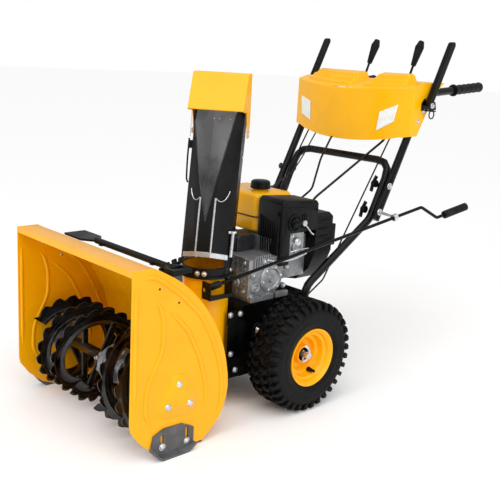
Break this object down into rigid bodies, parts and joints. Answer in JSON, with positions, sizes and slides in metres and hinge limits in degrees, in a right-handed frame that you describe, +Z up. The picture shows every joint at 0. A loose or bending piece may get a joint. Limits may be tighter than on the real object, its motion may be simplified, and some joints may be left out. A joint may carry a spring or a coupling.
{
  "type": "two stage snowblower",
  "caption": "Walk-behind two stage snowblower with twin ribbon augers, impeller drum, turning chute with tilting deflector, petrol engine and lever handlebars on two wheels.",
  "frame": {"origin": "middle of the bottom of the whole machine, on the ground", "axes": "+Z up, +X the machine's left as its operator sees it, -Y the way it drives and gathers snow"},
  "size_m": [0.724, 1.4644, 1.0816],
  "materials": {
    "yellow_paint": "glossy powder coat",
    "yellow_plastic": "glossy moulded plastic",
    "black_paint": "satin powder coat",
    "black_plastic": "moulded plastic",
    "cast_aluminium": "sand cast and blasted",
    "zinc_steel": "zinc plated",
    "dark_steel": "dark grey coat",
    "cast_iron": "as cast",
    "tyre_rubber": "moulded tread rubber",
    "grip_rubber": "soft moulded rubber"
  },
  "bodies": {
    "root": {"side_plate_left": "yellow_paint", "side_plate_right": "yellow_paint", "housing_shell": "yellow_paint", "scraper_bar": "dark_steel", "impeller_drum": "yellow_paint", "auger_bearing_left": "cast_iron", "auger_bearing_right": "cast_iron", "auger_gearbox": "cast_aluminium", "auger_belt": "grip_rubber", "traction_belt": "grip_rubber", "tractor_frame": "black_paint", "bottom_cover": "black_paint", "engine_crankcase": "cast_aluminium", "heater_box": "black_plastic", "carburettor": "cast_aluminium", "muffler": "dark_steel", "fuel_tank": "yellow_plastic", "recoil_cover": "black_plastic", "belt_cover": "black_plastic", "handle_loop": "black_paint", "handlebar_left": "black_paint", "handlebar_right": "black_paint", "grip_left": "grip_rubber", "grip_right": "grip_rubber", "control_panel": "yellow_plastic", "clutch_cable_left": "black_plastic", "clutch_cable_right": "black_plastic", "crank_bracket": "zinc_steel", "worm_bracket": "black_paint"},
    "augers": {"auger_shaft": "zinc_steel", "auger_left": "black_paint", "auger_right": "black_paint"},
    "impeller_group": {"impeller": "black_paint", "impeller_shaft": "zinc_steel", "impeller_pulley": "dark_steel"},
    "crankshaft": {"crank_pulley": "dark_steel"},
    "traction_disc": {"drive_disc": "dark_steel"},
    "wheels": {"wheel_axle": "zinc_steel", "rim_left": "yellow_paint", "rim_right": "yellow_paint", "tyre_left": "tyre_rubber", "tyre_right": "tyre_rubber"},
    "hex_drive": {"hex_shaft": "zinc_steel"},
    "friction_carriage": {"friction_wheel": "grip_rubber"},
    "speed_shift": {"speed_lever": "black_plastic"},
    "deflector_shift": {"deflector_lever": "black_plastic"},
    "chute_turret": {"chute_ring": "black_paint", "chute": "black_paint"},
    "deflector_hood": {"deflector": "yellow_paint"},
    "chute_crank": {"crank_rod": "black_paint"},
    "crank_handle": {"crank_grip": "grip_rubber"},
    "left_clutch": {"clutch_lever_left": "black_paint"},
    "right_clutch": {"clutch_lever_right": "black_paint"},
    "left_skid": {"skid_left": "dark_steel"},
    "right_skid": {"skid_right": "dark_steel"},
    "filler_cap": {"fuel_cap": "black_plastic"},
    "choke": {"choke_knob": "black_plastic"},
    "throttle": {"throttle_lever": "zinc_steel"},
    "starter_handle": {"recoil_handle": "black_plastic"},
    "stick_tool": {"cleanout_tool": "black_plastic"}
  },
  "joints": [
    {"name": "auger_spin", "type": "hinge", "parent": "root", "child": "augers", "pos_m": [-0.04204, -0.58317, 0.149], "axis": [1, 0, 0], "continuous": true},
    {"name": "impeller_spin", "type": "hinge", "parent": "root", "child": "impeller_group", "pos_m": [-0.04204, -0.32117, 0.149], "axis": [0, 1, 0], "continuous": true},
    {"name": "crankshaft_spin", "type": "hinge", "parent": "root", "child": "crankshaft", "pos_m": [-0.03004, -0.12117, 0.4173], "axis": [0, 1, 0], "continuous": true},
    {"name": "traction_disc_spin", "type": "hinge", "parent": "root", "child": "traction_disc", "pos_m": [-0.04204, -0.12117, 0.227], "axis": [0, 1, 0], "continuous": true},
    {"name": "wheel_spin", "type": "hinge", "parent": "root", "child": "wheels", "pos_m": [-0.04204, -0.12117, 0.165], "axis": [1, 0, 0], "continuous": true},
    {"name": "hex_shaft_spin", "type": "hinge", "parent": "root", "child": "hex_drive", "pos_m": [-0.04204, -0.20917, 0.227], "axis": [1, 0, 0], "continuous": true},
    {"name": "friction_wheel_shift", "type": "slide", "parent": "hex_drive", "child": "friction_carriage", "axis": [1, 0, 0], "range_m": [-0.042, 0.042]},
    {"name": "speed_lever_tilt", "type": "hinge", "parent": "root", "child": "speed_shift", "pos_m": [0.09296, 0.41383, 0.868], "axis": [1, 0, 0], "range_deg": [-20, 20]},
    {"name": "deflector_lever_tilt", "type": "hinge", "parent": "root", "child": "deflector_shift", "pos_m": [-0.09204, 0.41383, 0.868], "axis": [1, 0, 0], "range_deg": [0, 20]},
    {"name": "chute_turn", "type": "hinge", "parent": "root", "child": "chute_turret", "pos_m": [0.04896, -0.34717, 0.4285], "axis": [0, 0, 1], "range_deg": [-128, 52]},
    {"name": "deflector_tilt", "type": "hinge", "parent": "chute_turret", "child": "deflector_hood", "pos_m": [0.02584, -0.2929, 0.7935], "axis": [0.788, 0.6157, 0], "range_deg": [-51, 0]},
    {"name": "crank_turn", "type": "hinge", "parent": "root", "child": "chute_crank", "pos_m": [0.12096, -0.38917, 0.381], "axis": [0.2479, 0.9317, 0.2653], "range_deg": [-1030, 420]},
    {"name": "crank_grip_spin", "type": "hinge", "parent": "chute_crank", "child": "crank_handle", "pos_m": [0.33184, 0.4033, 0.55272], "axis": [0.2479, 0.9317, 0.2653], "continuous": true},
    {"name": "left_clutch_press", "type": "hinge", "parent": "root", "child": "left_clutch", "pos_m": [0.21996, 0.39683, 0.888], "axis": [1, 0, 0], "range_deg": [-46, 0], "stiffness_Nm_per_rad": 1, "springref_deg": 34.38},
    {"name": "right_clutch_press", "type": "hinge", "parent": "root", "child": "right_clutch", "pos_m": [-0.30404, 0.39683, 0.888], "axis": [1, 0, 0], "range_deg": [-46, 0], "stiffness_Nm_per_rad": 1, "springref_deg": 34.38},
    {"name": "left_skid_height", "type": "slide", "parent": "root", "child": "left_skid", "axis": [0, 0, 1], "range_m": [-0.026, 0]},
    {"name": "right_skid_height", "type": "slide", "parent": "root", "child": "right_skid", "axis": [0, 0, 1], "range_m": [-0.026, 0]},
    {"name": "fuel_cap_turn", "type": "hinge", "parent": "root", "child": "filler_cap", "pos_m": [-0.04804, -0.05917, 0.607], "axis": [0, 0, 1], "range_deg": [0, 120]},
    {"name": "choke_turn", "type": "hinge", "parent": "root", "child": "choke", "pos_m": [0.13026, -0.08317, 0.532], "axis": [1, 0, 0], "range_deg": [0, 75]},
    {"name": "throttle_swing", "type": "hinge", "parent": "root", "child": "throttle", "pos_m": [0.13026, -0.04317, 0.528], "axis": [1, 0, 0], "range_deg": [0, 40]},
    {"name": "starter_pull", "type": "slide", "parent": "root", "child": "starter_handle", "axis": [0, 1, 0], "range_m": [0, 0.08], "stiffness_N_per_m": 40, "springref_m": -0.05},
    {"name": "cleanout_tool_lift", "type": "slide", "parent": "root", "child": "stick_tool", "axis": [0, 0, 1], "range_m": [0, 0.08]}
  ],
  "couplings": [
    {"joint": "impeller_spin", "follows": "auger_spin", "ratio": 10},
    {"joint": "traction_disc_spin", "follows": "crankshaft_spin", "ratio": 0.5},
    {"joint": "hex_shaft_spin", "follows": "wheel_spin", "ratio": 2.6},
    {"joint": "friction_wheel_shift", "follows": "speed_lever_tilt", "m_per_rad": 0.1146},
    {"joint": "deflector_tilt", "follows": "deflector_lever_tilt", "ratio": -2.5},
    {"joint": "crank_turn", "follows": "chute_turn", "ratio": 8}
  ]
}
